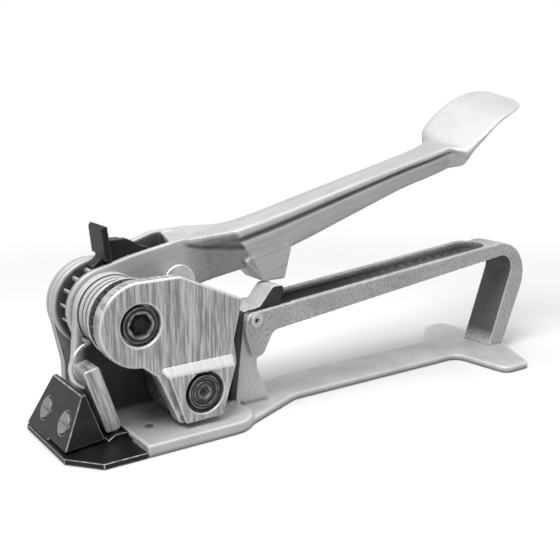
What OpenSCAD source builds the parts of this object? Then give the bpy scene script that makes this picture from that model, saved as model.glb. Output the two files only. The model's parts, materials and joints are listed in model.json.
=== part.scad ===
// Strapping tensioner: a hand lever turns a geared feed wheel that pulls flat strap tight.
// X runs from the nose to the tail, Y away from the open side, Z up. Millimetres.
// The origin lies on the bottom plane, below the lever shaft, on the strap's centre line.

/* [Base] */
// Height of the bed that the strap slides on
bed_top = 6.5; // [5:0.5:9]
// Thickness of the arm and the T foot
arm_t = 4; // [3.5:0.5:5]
// Thickness of the nose plate
nose_t = 3; // [2:0.5:4]
// Front edge of the nose plate, ahead of the lever shaft
nose_reach = 42; // [40:1:50]
// Bed width on the open side of the strap
bed_near = 35; // [32:1:42]
// Width of the arm
arm_w = 33; // [31:1:38]
// Sideways position of the arm's middle
arm_mid = 6; // [4:1:8]
// Tail end of the T foot behind the lever shaft
tail_x = 284; // [270:1:310]
// Width of the T foot over both wings
foot_w = 102; // [90:1:120]

/* [Head] */
// Height of the lever shaft
shaft_z = 66; // [64:1:70]
// Lever shaft diameter
shaft_d = 14; // [12:0.5:15]
// Feed wheel axis behind the lever shaft
feed_x = 33.5; // [32:0.5:36]
// Feed wheel diameter
feed_d = 36; // [34:0.5:38]
// Widest strap that the feed wheel takes
strap_w = 13; // [10:0.5:16]
// Room between the feed wheel and the bed
strap_gap = 0.4; // [0.3:0.1:0.8]
// Thickness of the two frame walls
wall_t = 6; // [5:0.5:8]
// Radius of the rounded head plates
head_r = 25; // [24.5:0.5:27]

/* [Rocker] */
// Thickness of the rocker's outer plate
rocker_t = 9; // [8:0.5:11]
// Thickness of the rocker's inner leg
leg_t = 4; // [3:0.5:5]
// How far the lower boss stands out of the rocker
boss_out = 4; // [4:0.5:6]

/* [Gears] */
// Gear module
gear_mod = 1.5; // [1.4:0.05:1.55]
// Teeth of the gear on the drive sleeve
drive_teeth = 26; // [25:1:27]
// Teeth of the idler
idler_teeth = 14; // [13:1:15]
// Teeth of the gear on the feed wheel
feed_teeth = 22; // [21:1:22]
// Face width of the gears
gear_w = 6; // [5:0.5:8]
// Play between meshed teeth
gear_play = 0.35; // [0.25:0.05:0.5]

/* [Ratchet] */
// Teeth of the ratchet wheel
ratchet_teeth = 16; // [16:1:16]
// Tip radius of the ratchet wheel
ratchet_r = 21.5; // [20.5:0.5:22]
// Depth of the ratchet teeth
tooth_h = 3.9; // [3.5:0.1:4.2]
// Width of the ratchet wheel
ratchet_w = 9; // [8:0.5:11]

/* [Lever] */
// Thickness of each fork cheek
cheek_t = 4.6; // [4:0.2:6]
// Sideways position of the lever's arm
arm_y = 14; // [10:1:18]
// Height of the lever's rear end above its shaft
lever_rise = 110; // [102:1:118]
// Height of the thumb tab's top above the lever shaft
tab_top = 45; // [40:1:50]

/* [D handle] */
// Width of the channel bar
grip_w = 30; // [28:1:34]
// Height of the handle's pin
grip_pin_z = 54; // [52:1:56]

/* [Fits] */
// Radial clearance of turning pins
run_gap = 0.05; // [0.03:0.01:0.08]
// Side clearance between neighbouring plates
side_gap = 0.4; // [0.4:0.05:0.6]

/* [Hidden] */
$fn = 64;
eps = 0.01;
// Stack along Y, from the strap to the far side
strap_half = strap_w / 2;
leg_y0 = strap_half + side_gap;
leg_y1 = leg_y0 + leg_t;
wall_y0 = leg_y1 + side_gap + 0.1;
wall_y1 = wall_y0 + wall_t;
near_y0 = wall_y1 + side_gap;
near_y1 = near_y0 + cheek_t;
rat_y0 = near_y1 + side_gap + 0.1;
rat_y1 = rat_y0 + ratchet_w;
far_y0 = rat_y1 + side_gap + 0.1;
far_y1 = far_y0 + cheek_t;
plate_y0 = far_y1 + side_gap;
plate_y1 = plate_y0 + wall_t;
bed_far = plate_y1 + 1.6;
// Edges of the arm
arm_near = arm_mid - arm_w / 2;
arm_far = arm_mid + arm_w / 2;
// Stack along Y, from the strap to the open side
disc_t = 1;
gear_y1 = -strap_half - 0.6;
gear_y0 = gear_y1 - gear_w;
rock_y1 = gear_y0 - 1.5;
rock_y0 = rock_y1 - rocker_t;
boss_y0 = rock_y0 - boss_out;
// Shaft, sleeve and bush radii
shaft_r = shaft_d / 2;
sleeve_r = shaft_r + 3;
bush_r = sleeve_r + 2.5;
hub_boss_r = 19.5;
near_head_r = head_r - 2.4;
wall_head_r = hub_boss_r + 1;
disc_r = drive_teeth * gear_mod / 2 + 2;
// Axes
shaft = [0, shaft_z];
feed_r = feed_d / 2;
feed = [feed_x, bed_top + strap_gap + feed_r];
drive_pr = drive_teeth * gear_mod / 2;
idler_pr = idler_teeth * gear_mod / 2;
feed_pr = feed_teeth * gear_mod / 2;
// Idler centre from the two centre distances
axis_d = norm(feed - shaft);
reach_1 = drive_pr + idler_pr;
reach_2 = idler_pr + feed_pr;
along = (reach_1 * reach_1 - reach_2 * reach_2 + axis_d * axis_d) / (2 * axis_d);
aside = sqrt(max(reach_1 * reach_1 - along * along, 0));
to_feed = (feed - shaft) / axis_d;
idler = shaft + along * to_feed + aside * [-to_feed.y, to_feed.x];
// Tooth phases so that each tooth faces a gap
dir_1 = atan2(idler.y - shaft.y, idler.x - shaft.x);
dir_2 = atan2(feed.y - idler.y, feed.x - idler.x);
idler_phase = dir_1 + 180 + (dir_1 / (360 / drive_teeth) - 0.5) * 360 / idler_teeth;
feed_phase = dir_2 + 180 + ((dir_2 - idler_phase) / (360 / idler_teeth) - 0.5) * 360 / feed_teeth;
// Ratchet and pawls
pitch_deg = 360 / ratchet_teeth;
root_r = ratchet_r - tooth_h;
drive_face = 104;
hold_face = drive_face - 5 * pitch_deg;
pawl_pin_r = 3.5;
pawl_pin = shaft + [24, 24];
hold_pin_r = 3;
hold_pin = shaft + [20, -28.2];
hold_rest = 10;
pawl_y0 = rat_y0 + 0.3;
pawl_y1 = rat_y1 - 0.3;
hub_y1 = pawl_y0 + 4.5;
cap_at = shaft + [41.5, 10];
cap_r = 10;
// Gripper
grip_pin_r = 3;
gripper_pin_at = [-16, 24.5];
bar_y0 = -9;
bar_y1 = strap_half + 0.5;
toe_z = bed_top + strap_gap;
block_top = 30;
// Lug and lever rest
grip_y0 = -12;
grip_y1 = grip_y0 + grip_w;
post_y1 = 12;
lug_y0 = grip_y0 + 3.3;
lug_y1 = grip_y1 - 3.3;
rest_y1 = 8;
heel_z = shaft_z + 5.6;
grip_pin_at = [76, grip_pin_z];
handle_pin_r = 3;
// Fork centre line and half width
fork_y = (near_y0 + far_y1) / 2;
fork_half = (far_y1 - near_y0) / 2;
// Stations of the lever behind the shaft: x, y, half width, top, bottom, flute depth, roll,
// how flat the sides are and how far the section leans forward over its height
lever_form = [
    [42, fork_y, fork_half - 1.2, 34.3, 4, 0, 2.2, 1, 0],
    [60, fork_y - 0.8, fork_half + 0.4, 35.4, 9.5, 0, 2.4, 0.9, 5],
    [80, arm_y + 0.4, 12.6, 38.3, 16.1, 0.9, 0.6, 0.3, 16],
    [90, arm_y, 12.5, 40.2, 18.6, 1, 0, 0.1, 14],
    [120, arm_y, 12.5, 48.1, 26.7, 1, 0, 0, 7],
    [160, arm_y - 0.5, 12.5, 58.4, 39.9, 1, 0, 0, 5],
    [200, arm_y - 1, 12.5, 68.6, 52.7, 1, 0, 0, 3],
    [224, arm_y - 1.5, 12.8, 75, 58.8, 0.9, 0.3, 0, 0],
    [235, arm_y - 1.9, 13.6, 78.6, 63, 0.5, 0.8, 0, 0],
    [238.5, arm_y - 2.6, 18.4, 80.4, 66.5, 0.2, 3.8, 0, 0],
    [242, arm_y - 3.2, 22, 82.4, 70, 0, 6, 0, 0],
    [250, arm_y - 2.8, 23, 88.3, 79.3, 0, 6.5, 0, 0],
    [258, arm_y - 3.3, 24, 94, 86.5, 0, 6, 0, 0],
    [268, arm_y - 3.6, 24.2, 100.3, 94.3, 0, 5.3, 0, 0],
    [280, arm_y - 3.5, 24, 105.2, 100.6, 0, 5, 0, 0],
    [289, arm_y - 2.9, 21.4, 107.8, 103.8, 0, 4.6, 0, 0],
    [293.5, arm_y - 2.8, 17.6, 109, 105.4, 0, 3.8, 0, 0],
    [296, arm_y - 3, 12, 109.7, 106.6, 0, 2.6, 0, 0]
];
// The same stations, raised or lowered evenly towards the rear end
stations = [for (s = lever_form)
    let (more = (lever_rise - 110) * max(0, s[0] - 90) / 206)
    [s[0], s[1], s[2], s[3] + more, s[4] + more, s[5], s[6], s[7], s[8]]];

// Colours
steel = [0.72, 0.73, 0.74];
ground = [0.80, 0.81, 0.82];
cast = [0.62, 0.63, 0.64];
black = [0.12, 0.12, 0.13];
wire = [0.55, 0.55, 0.56];
bronze = [0.72, 0.55, 0.30];

// Unit vector
function unit(v) = v / norm(v);
// Point at a radius and an angle round a centre
function polar(c, r, a) = c + r * [cos(a), sin(a)];

// Corner b between a and c, rounded to radius r
function fillet(a, b, c, r, n) =
    r <= 0 ? [b] :
    let (u = unit(a - b),
         v = unit(c - b),
         half = acos(u * v) / 2,
         o = b + unit(u + v) * r / sin(half),
         s = b + u * r / tan(half) - o,
         e = b + v * r / tan(half) - o,
         a0 = atan2(s.y, s.x),
         turn = atan2(e.y, e.x) - a0,
         sweep = turn > 180 ? turn - 360 : turn < -180 ? turn + 360 : turn)
    [for (i = [0 : n]) polar(o, r, a0 + sweep * i / n)];

// Outline through points that each carry a corner radius
function outline(p, n = 5) =
    let (k = len(p))
    [for (i = [0 : k - 1])
        let (a = p[(i + k - 1) % k],
             b = p[i],
             c = p[(i + 1) % k])
        each fillet([a.x, a.y], [b.x, b.y], [c.x, c.y], b.z, n)];

// Involute gear outline
function involute(a) = tan(a) - a * PI / 180;
function half_tooth(rho, teeth) =
    let (r = teeth * gear_mod / 2,
         rb = r * cos(20),
         turn = involute(20) - involute(acos(min(rb / rho, 1))))
    90 / teeth + (turn - gear_play / (2 * r)) * 180 / PI;
function gear_points(c, teeth, phase) =
    let (r = teeth * gear_mod / 2,
         low = r * cos(20),
         tip = r + 0.8 * gear_mod,
         root = r - 1.2 * gear_mod,
         n = 3)
    [for (k = [0 : teeth - 1])
        let (m = phase + 360 * k / teeth)
        each concat(
            [polar(c, root, m - half_tooth(low, teeth))],
            [for (i = [0 : n])
                let (q = low + (tip - low) * i / n)
                polar(c, q, m - half_tooth(q, teeth))],
            [for (i = [n : -1 : 0])
                let (q = low + (tip - low) * i / n)
                polar(c, q, m + half_tooth(q, teeth))],
            [polar(c, root, m + half_tooth(low, teeth))])];

// Ratchet outline: a radial face, a short land and a long back slope
function ratchet_points() =
    [for (k = [0 : ratchet_teeth - 1])
        let (a = drive_face + k * pitch_deg)
        each [polar(shaft, ratchet_r, a),
              polar(shaft, ratchet_r, a + 2),
              polar(shaft, root_r, a + pitch_deg)]];

// Frames carried along a path without twisting
function tangents(p) =
    let (n = len(p) - 1)
    [for (i = [0 : n]) unit(p[min(i + 1, n)] - p[max(i - 1, 0)])];
function normals(t, up, i = 0) =
    let (m = unit(up - (up * t[i]) * t[i]))
    i == len(t) - 1 ? [m] : concat([m], normals(t, m, i + 1));
// Least distance between parts of a wire that are more than a few rings apart
function self_gap(p, d, skip) =
    min([for (i = [0 : len(p) - 1 - skip])
        for (j = [i + skip : len(p) - 1]) norm(p[i] - p[j])]) - d;
// Coil along Y with straight legs at both ends
function coil(c, r, y0, y1, turns, a0) =
    [for (i = [0 : round(turns * 8)])
        let (q = polar(c, r, a0 + 45 * i))
        [q.x, y0 + (y1 - y0) * i / round(turns * 8), q.y]];

// Extrude an outline in the X-Z plane from y0 to y1
module slab(y0, y1)
    translate([0, y1, 0])
        rotate([90, 0, 0])
            linear_extrude(height = y1 - y0)
                children();

// Round bar along Y
module rod(c, r, y0, y1)
    translate([c.x, y1, c.y])
        rotate([90, 0, 0])
            cylinder(r = r, h = y1 - y0);

// Block between two corners
module block(a, b)
    translate(a)
        cube(b - a);

// Closed skin over rings of points
module skin(rings) {
    n = len(rings[0]);
    k = len(rings);
    polyhedron(
        points = [for (r = rings) each r],
        faces = concat(
            [[for (j = [0 : n - 1]) j]],
            [for (i = [0 : k - 2])
                for (j = [0 : n - 1])
                    let (a = i * n + j,
                         b = i * n + (j + 1) % n)
                    each [[a, a + n, b + n], [a, b + n, b]]],
            [[for (j = [n - 1 : -1 : 0]) (k - 1) * n + j]]));
}

// Round wire along a path
module wire_along(p, d, up, sides = 6) {
    t = tangents(p);
    m = normals(t, up);
    skin([for (i = [0 : len(p) - 1])
        [for (j = [0 : sides - 1])
            p[i] + d / 2 * (cos(360 * j / sides) * m[i] - sin(360 * j / sides) * cross(t[i], m[i]))]]);
}

// Cast frame: bed, arm, T foot, main wall, far rib and rear lug
module base_casting() color(cast) difference() {
    union() {
        linear_extrude(height = bed_top)
            polygon(outline([
                [-4, -bed_near, 1], [66, -bed_near, 17], [66, bed_far, 8], [-4, bed_far, 1]], 8));
        linear_extrude(height = arm_t)
            polygon(outline([
                [40, -bed_near + 6, 0], [62, -bed_near + 6, 0], [104, arm_near, 16],
                [tail_x - 44, arm_near, 8], [tail_x - 40, -foot_w / 2, 6],
                [tail_x - 18, -foot_w / 2, 7], [tail_x + 2, -12, 4],
                [tail_x + 5, foot_w / 2, 6], [tail_x - 14, foot_w / 2, 6],
                [tail_x - 42, arm_far, 8],
                [120, arm_far, 16], [93, 18.5, 12], [62, 18.5, 0], [40, 18.5, 0]], 5));
        // Main wall with the hub boss
        slab(wall_y0, wall_y1) {
            translate(shaft)
                circle(r = wall_head_r);
            polygon([
                [1 - head_r, nose_t], [1 - head_r, 34], [-wall_head_r, shaft_z], [20, shaft_z - 13],
                [46, shaft_z - 20], [52, bed_top - 1], [-4, bed_top - 1], [-4, nose_t]]);
        }
        rod(shaft, hub_boss_r, gear_y1 + 1.6, wall_y0 + 1);
        // Rib that carries the far plate
        slab(plate_y0 - 6.2, plate_y0)
            polygon([[-18, nose_t], [-18, 22], [47, 22], [47, bed_top - 1],
                [-4, bed_top - 1], [-4, nose_t]]);
        // Rear lug, and the lever rest on its near half
        slab(lug_y0, lug_y1)
            polygon(outline([
                [60, arm_t - 1, 0], [64, 44, 8], [68, 59, 5], [84, 61, 4], [90, 57, 4],
                [83, 47, 6], [78, 26, 12], [88, arm_t - 1, 0]]));
        slab(lug_y0, rest_y1)
            polygon(outline([
                [72, 56, 0], [80, 59.6, 6], [90, heel_z - 0.4, 2], [98, heel_z - 0.4, 2],
                [95, 60, 8], [84, 50, 0]]));
    }
    // Sleeve bush seat
    rod(shaft, bush_r, gear_y1 - 2, wall_y1 + 1);
    // Pin holes
    rod(hold_pin, hold_pin_r, wall_y0 + 0.6, wall_y1 + 1);
    rod(gripper_pin_at, grip_pin_r + run_gap, wall_y0 - 1, wall_y1 + 1);
    rod(grip_pin_at, handle_pin_r, lug_y0 - 1, lug_y1 + 1);
    // Gripper spring anchor
    rod([-17.5, shaft_z - 12.5], 1.3, wall_y0 - 1, wall_y0 + 4);
    // Feed anvil seat
    translate([feed.x, 0, 1])
        cylinder(r = 8, h = bed_top);
    // Rebate and rivet holes for the nose plate's tongue
    block([-5, -16.2, -1], [22.2, 30.2, nose_t]);
    for (y = [-11, 24])
        translate([8, y, -1])
            cylinder(r = 2.5, h = bed_top + 2);
    // Threads for the far plate's screws
    for (x = [-10, 15, 40])
        rod([x, 14], 2.5, plate_y0 - 4.5, plate_y0 + 1);
    // Countersunk holes under the post
    for (y = [-6, 6])
        translate([tail_x - 7, y, -eps]) {
            cylinder(r1 = 5, r2 = 2.5, h = 2.5);
            cylinder(r = 2.5, h = arm_t + 1);
        }
}

// Thin plate under the nose, with a tongue below the bed
module nose_plate() color(black) difference() {
    linear_extrude(height = nose_t) {
        polygon([
            [-nose_reach, -bed_near + 17], [-nose_reach + 14, -bed_near], [-4.1, -bed_near],
            [-4.1, bed_far], [-nose_reach + 14, bed_far], [-nose_reach, bed_far - 8]]);
        polygon([[-4.2, -16], [22, -16], [22, 30], [-4.2, 30]]);
    }
    for (y = [-11, 24])
        translate([8, y, -1])
            cylinder(r = 2.5, h = nose_t + 2);
    for (y = [-2, 24])
        translate([-35, y, -1])
            cylinder(r = 2.2, h = nose_t + 2);
}

// Rivets through the bed and the nose plate
module nose_rivets() color(steel)
    for (y = [-11, 24])
        translate([8, y, 0])
            cylinder(r = 2.5, h = bed_top);

// Black wedge on the nose, with a slot for the strap under its open side
slope_run = 13.5;
block_z0 = nose_t;
module gripper_block() color(black) difference() {
    slab(-bed_near, bed_far)
        polygon([
            [-41, block_z0], [-41 + slope_run, block_top], [-25, block_top],
            [-16.6, block_z0]]);
    // Sloping sides
    translate([-41, -15.6, block_z0])
        rotate([-9.3, 0, 11])
            block([-20, -60, -20], [60, 0, 60]);
    translate([-41, bed_far - 5.6, block_z0])
        rotate([15, 0, 0])
            block([-20, 0, -20], [60, 60, 60]);
    // Room for the walls
    block([-24.4, bar_y1 + 2.5, -1], [0, bed_far + 1, 60]);
    // Strap slot
    block([-60, -60, block_z0 - 1], [0, bar_y1 + 1, block_z0 + 1.6]);
    // Screw holes square to the sloping face
    for (y = [-2, 24])
        block_screw_place(y) {
            translate([0, 0, -14])
                cylinder(r = 2.6, h = 30);
            translate([0, 0, -1.6])
                cylinder(r = 6.2, h = 12);
        }
}

// Screw position on the wedge's front face
module block_screw_place(y)
    translate([-35, y, block_z0 + 12])
        rotate([0, -atan2(block_top - block_z0, slope_run), 0])
            children();

// Two slotted screws in the wedge
module block_screws() color(black)
    for (y = [-2, 24])
        block_screw_place(y)
            difference() {
                union() {
                    translate([0, 0, -1.6])
                        cylinder(r1 = 6, r2 = 5.4, h = 2.4);
                    translate([0, 0, -12])
                        cylinder(r = 2.5, h = 11);
                }
                block([-0.7, -10, -0.4], [0.7, 10, 5]);
            }

// Hard step that the strap is gripped on
module gripper_anvil() color(black)
    slab(-12, bar_y1 + 2)
        polygon([
            [-15.6, nose_t], [-15.6, nose_t + 1], [-11.5, bed_top],
            [-4.1, bed_top], [-4.1, nose_t]]);

// Hard plug in the bed under the feed wheel
module feed_anvil() color(steel) difference() {
    translate([feed.x, 0, 1])
        cylinder(r = 7.95, h = bed_top - 1);
    for (i = [-3 : 3])
        block([feed.x + 2 * i - 0.3, -9, bed_top - 0.5], [feed.x + 2 * i + 0.3, 9, bed_top + 1]);
}

// Second bearing wall
module far_plate() color(cast) difference() {
    slab(plate_y0, plate_y1) {
        translate(shaft)
            circle(r = head_r);
        polygon([
            [-19, bed_top], [-19, 34], [-head_r, shaft_z], [20, shaft_z - 15],
            [46, shaft_z - 22], [49, bed_top]]);
    }
    rod(shaft, shaft_r, plate_y0 - 1, plate_y1 + 1);
    rod(hold_pin, hold_pin_r, plate_y0 - 1, plate_y1 + 1);
    for (x = [-10, 15, 40])
        rod([x, 14], 2.7, plate_y0 - 1, plate_y1 + 1);
}

// Cap screws of the far plate
module far_plate_screws() color(black)
    for (x = [-10, 15, 40])
        difference() {
            union() {
                rod([x, 14], 2.5, plate_y0 - 4, plate_y1 + 1);
                rod([x, 14], 4.5, plate_y1, plate_y1 + 4);
            }
            translate([x, plate_y1 + 1.5, 14])
                rotate([-90, 0, 0])
                    cylinder(r = 2.3, h = 5, $fn = 6);
        }

// Groove in the bar of the D handle
groove_half = grip_w / 2 - 4;
groove_len = tail_x - 123;

// D handle: channel bar, round corner, post and two front tongues
module d_handle() color(cast) difference() {
    slab(grip_y0, grip_y1)
        polygon(outline([
            [74, 31, 4], [69, 46, 8], [70, grip_pin_z + 4, 6], [tail_x + 31, 80, 24],
            [tail_x, arm_t, 0], [tail_x - 13.5, arm_t, 0], [tail_x + 10, 69.5, 10],
            [88, 46, 5], [81, 33, 4]], 8));
    // Room for the lug between the tongues
    block([60, lug_y0 - 0.3, 0], [102, lug_y1 + 0.3, 100]);
    // The far rail stops short of the post
    translate([tail_x - 14, post_y1, 0])
        block([0, 0, -1], [60, grip_w, 70]);
    translate([tail_x - 14, post_y1, 60])
        difference() {
            block([-8, 0, 0], [60, grip_w, 40]);
            translate([-8, 0, 0])
                cylinder(r = grip_y1 - post_y1, h = 40);
        }
    // Groove along the top of the bar
    translate([100, (grip_y0 + grip_y1) / 2, grip_pin_z + 1])
        rotate([0, -4.8, 0]) {
            block([0, -groove_half, 0], [groove_len, groove_half, 40]);
            translate([groove_len, 0, 0])
                cylinder(r = groove_half, h = 40);
        }
    rod(grip_pin_at, handle_pin_r, grip_y0 - 1, grip_y1 + 1);
    for (y = [-6, 6])
        translate([tail_x - 7, y, 0])
            cylinder(r = 2.5, h = arm_t + 9);
}

// Pin through the tongues and the lug
module d_handle_pin() color(steel) difference() {
    union() {
        rod(grip_pin_at, handle_pin_r, grip_y0 - 0.8, grip_y1 + 0.8);
        rod(grip_pin_at, handle_pin_r + 0.8, grip_y0 - 1.2, grip_y0);
        rod(grip_pin_at, handle_pin_r + 0.8, grip_y1, grip_y1 + 1.2);
    }
    // Centre marks of the riveted ends
    for (y = [grip_y0 - 2, grip_y1 + 0.4])
        rod(grip_pin_at, 1.5, y, y + 1.6);
}

// Countersunk screws up into the post
module foot_screws() color(steel)
    for (y = [-6, 6])
        translate([tail_x - 7, y, 0])
            difference() {
                union() {
                    cylinder(r1 = 4.95, r2 = 2.5, h = 2.45);
                    cylinder(r = 2.48, h = arm_t + 8);
                }
                block([-6, -0.6, -1], [6, 0.6, 1]);
            }

// Fixed shaft that everything in the head turns on
module lever_shaft() color(steel) difference() {
    union() {
        rod(shaft, shaft_r, rock_y1 - 3.15, plate_y1 + 1);
        rod(shaft, shaft_r + 3, plate_y1, plate_y1 + 3.5);
    }
    rod(shaft, 3.5, rock_y1 - 4, rock_y1 + 14);
}

// Hex socket screw that holds the rocker on the shaft
module pivot_screw() color(black) difference() {
    union() {
        rod(shaft, 9.6, rock_y0 + 0.8, rock_y1 - 3.15);
        rod(shaft, 3.45, rock_y1 - 4, rock_y1 + 12);
    }
    translate([0, rock_y1 - 4.4, shaft_z])
        rotate([90, 30, 0])
            cylinder(r = 6.4, h = rocker_t, $fn = 6);
}

// Bush that the drive sleeve turns in
module sleeve_bush() color(bronze) difference() {
    rod(shaft, bush_r, gear_y1 + 1.6, wall_y1);
    rod(shaft, sleeve_r + run_gap, gear_y1, wall_y1 + 1);
}

// Pin pressed into the gripper, which turns in the wall and has its head behind it
module gripper_pin() color(steel) {
    rod(gripper_pin_at, grip_pin_r, bar_y0 + 3, wall_y1 + 1.5);
    rod(gripper_pin_at, grip_pin_r + 2, wall_y1 + 0.3, wall_y1 + 2);
}

// Wire hoop that presses the gripper down
hoop_d = 2.4;
hoop_at = [-19.4, shaft_z - 23];
hoop_r = 11.5;
hoop = concat(
    [for (y = [wall_y0 + 3.5 : -3.2 : 1]) [-17.5, y, shaft_z - 12.5]],
    [for (i = [0 : 18])
        let (q = polar(hoop_at, hoop_r, 92 + 8.55 * i))
        [q.x, -1.5 - 2.5 * min(i / 6, 1), q.y]]);
echo(hoop_gap = self_gap(hoop, hoop_d, 9));
module gripper_spring() color(wire)
    wire_along(hoop, hoop_d, [0, 0, 1], 8);

// Pin of the holding pawl
module hold_pawl_pin() color(steel)
    rod(hold_pin, hold_pin_r, wall_y0 + 0.6, plate_y1);

// Coil beside the holding pawl, with one leg on the pawl and one on the rib
hold_coil = concat(
    [[hold_pin.x + 4.6, hub_y1 + 1, hold_pin.y + 14]],
    coil(hold_pin, 4.6, hub_y1 + 1, pawl_y1 - 0.4, 2, 0),
    [[hold_pin.x + 4.6, pawl_y1 - 0.4, hold_pin.y + 9]]);
echo(hold_gap = self_gap(hold_coil, 0.9, 5));
module hold_pawl_spring() color(wire)
    wire_along(hold_coil, 0.9, [1, 0, 0]);

// Rocker: outer plate, rear bridge, inner leg and lower boss
rocker_outline = [
    [-6, shaft_z + 22, 0], [23, shaft_z + 22.5, 4], [60, shaft_z + 5.5, 2],
    [54.5, shaft_z - 17, 8], [56, 36, 3], [feed.x + 12, bed_top + 2.5, 3],
    [feed.x - 13, bed_top + 2, 3], [8, 37, 5], [0, shaft_z - 22.4, 0], [-6, shaft_z, 0]];
boss_z = feed.y + 12;
module rocker() color(ground) difference() {
    union() {
        slab(rock_y0, rock_y1) {
            translate(shaft)
                circle(r = 22.5);
            polygon(outline(rocker_outline, 4));
        }
        // Rear bridge
        slab(rock_y1 - 1, leg_y1)
            polygon([[43, shaft_z + 12.5], [59, shaft_z + 5], [55, shaft_z - 16], [43, shaft_z - 16]]);
        // Inner leg, clear of the hub boss
        slab(leg_y0, leg_y1)
            difference() {
                polygon(outline([
                    [16, shaft_z - 4, 0], [57, shaft_z, 0], [54.5, shaft_z - 17, 6], [52, 34, 8],
                    [feed.x + 11, bed_top + 4, 4], [feed.x - 10, bed_top + 4, 4], [16, 32, 6]]));
                translate(shaft)
                    circle(r = hub_boss_r + 0.7);
            }
        // Lower boss with a sloping top
        hull() {
            slab(rock_y0 - eps, rock_y0 + 1)
                polygon([[9, boss_z + 5], [54.5, boss_z + 5.5], [feed.x + 11, bed_top + 3.5],
                    [feed.x - 11.5, bed_top + 3]]);
            slab(boss_y0, boss_y0 + 1)
                polygon([[12.5, boss_z + 0.5], [53, boss_z], [feed.x + 11, bed_top + 3.5],
                    [feed.x - 11.5, bed_top + 3]]);
        }
    }
    // Upper counterbore and bush seat
    rod(shaft, 11, rock_y0 - 1, rock_y1 - 3);
    rod(shaft, shaft_r + 2, rock_y0, rock_y1 + 1);
    // Lower counterbore and shaft bore
    rod(feed, 11.6, boss_y0 - 1, rock_y0);
    rod(feed, 6, boss_y0, leg_y1 + 1);
    // Idler pin seats
    rod(idler, 3, rock_y1 - 5, leg_y1 + 1);
    // Spring seat
    translate([52, -2, shaft_z - 10])
        rotate([0, 90, 0])
            cylinder(r = 4, h = 12);
}

// Bush between the rocker and the lever shaft
module rocker_bush() color(bronze) difference() {
    rod(shaft, shaft_r + 2, rock_y1 - 3, rock_y1);
    rod(shaft, shaft_r + run_gap, rock_y1 - 4, rock_y1 + 1);
}

// Lower bolt: the axle of the feed wheel
module feed_shaft() color(black) difference() {
    union() {
        rod(feed, 6, rock_y0 - 1, leg_y1);
        rod(feed, 9.4, boss_y0 + 0.6, rock_y0 - 1.2);
    }
    translate([feed.x, boss_y0 + 3, feed.y])
        rotate([90, 0, 0])
            cylinder(r = 3.2, h = 6, $fn = 6);
    difference() {
        rod(feed, 7, boss_y0, boss_y0 + 1.2);
        rod(feed, 6, boss_y0 - 1, boss_y0 + 2);
    }
}

// Washer under the bolt head
module feed_shaft_washer() color(black) difference() {
    rod(feed, 11.3, rock_y0 - 1.2, rock_y0);
    rod(feed, 6, rock_y0 - 2, rock_y0 + 1);
}

// Thrust washer between the rocker and the feed gear
module thrust_washer() color(bronze) difference() {
    rod(feed, 9.5, rock_y1 + 0.1, gear_y0 - 0.2);
    rod(feed, 6 + run_gap, rock_y1, gear_y0);
}

// Pin of the idler
module idler_pin() color(steel)
    rod(idler, 3, rock_y1 - 5, leg_y1);

// Coil that presses the rocker forward from the lug
rocker_coil = [for (i = [0 : 32])
    [54.3 + 9 * i / 32, -2 + 3 * cos(45 * i), shaft_z - 10 + 3 * sin(45 * i)]];
echo(rocker_gap = self_gap(rocker_coil, 1.1, 5));
module rocker_spring() color(wire)
    wire_along(rocker_coil, 1.1, [0, 1, 0]);

// Sleeve that joins the ratchet wheel to the drive gear
module drive_sleeve() color(steel) difference() {
    rod(shaft, sleeve_r, rock_y1 + 0.2, far_y1 + 0.2);
    rod(shaft, shaft_r + run_gap, rock_y1 - 1, far_y1 + 1);
    key_at(rat_y0, rat_y1);
    key_at(gear_y0, gear_y1);
}

// Key between the sleeve and a wheel
module key_at(y0, y1)
    block([-2, y0, shaft_z + sleeve_r - 1.5], [2, y1, shaft_z + sleeve_r + 1.5]);
module drive_keys() color(steel) {
    key_at(rat_y0, rat_y1);
    key_at(gear_y0, gear_y1);
}

// Ratchet wheel
module ratchet_wheel() color(black) difference() {
    slab(rat_y0, rat_y1)
        polygon(ratchet_points());
    rod(shaft, sleeve_r, rat_y0 - 1, rat_y1 + 1);
    key_at(rat_y0 - 1, rat_y1 + 1);
}

// Gear on the sleeve
module drive_gear() color(steel) difference() {
    slab(gear_y0, gear_y1)
        polygon(gear_points(shaft, drive_teeth, 0));
    rod(shaft, sleeve_r, gear_y0 - 1, gear_y1 + 1);
    key_at(gear_y0 - 1, gear_y1 + 1);
}

// Thin discs on both sides of the drive gear
module gear_side_discs() color(ground)
    for (y = [gear_y0 - 0.2 - disc_t, gear_y1 + 0.2])
        difference() {
            rod(shaft, disc_r, y, y + disc_t);
            rod(shaft, sleeve_r, y - 1, y + disc_t + 1);
        }

// Idler with a long hub
module idler_gear() color(steel) difference() {
    union() {
        slab(gear_y0 + 0.2, gear_y1 - 0.2)
            polygon(gear_points(idler, idler_teeth, idler_phase));
        rod(idler, 5, rock_y1 + 0.3, leg_y0 - 0.3);
    }
    rod(idler, 3 + run_gap, rock_y1, leg_y0);
}

// Feed wheel with a grooved rim and a spigot for its gear
rim_teeth = 48;
module feed_wheel() color(steel) difference() {
    union() {
        slab(-strap_half, strap_half)
            polygon([for (i = [0 : 2 * rim_teeth - 1])
                polar(feed, feed_r - 0.6 * (i % 2), 180 * i / rim_teeth)]);
        rod(feed, 9.5, gear_y0, -strap_half + 1);
    }
    rod(feed, 8, gear_y0 - 1, strap_half + 1);
}

// Gear on the feed wheel's spigot
module feed_gear() color(steel) difference() {
    slab(gear_y0, gear_y1)
        polygon(gear_points(feed, feed_teeth, feed_phase));
    rod(feed, 9.5, gear_y0 - 1, gear_y1 + 1);
}

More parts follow.
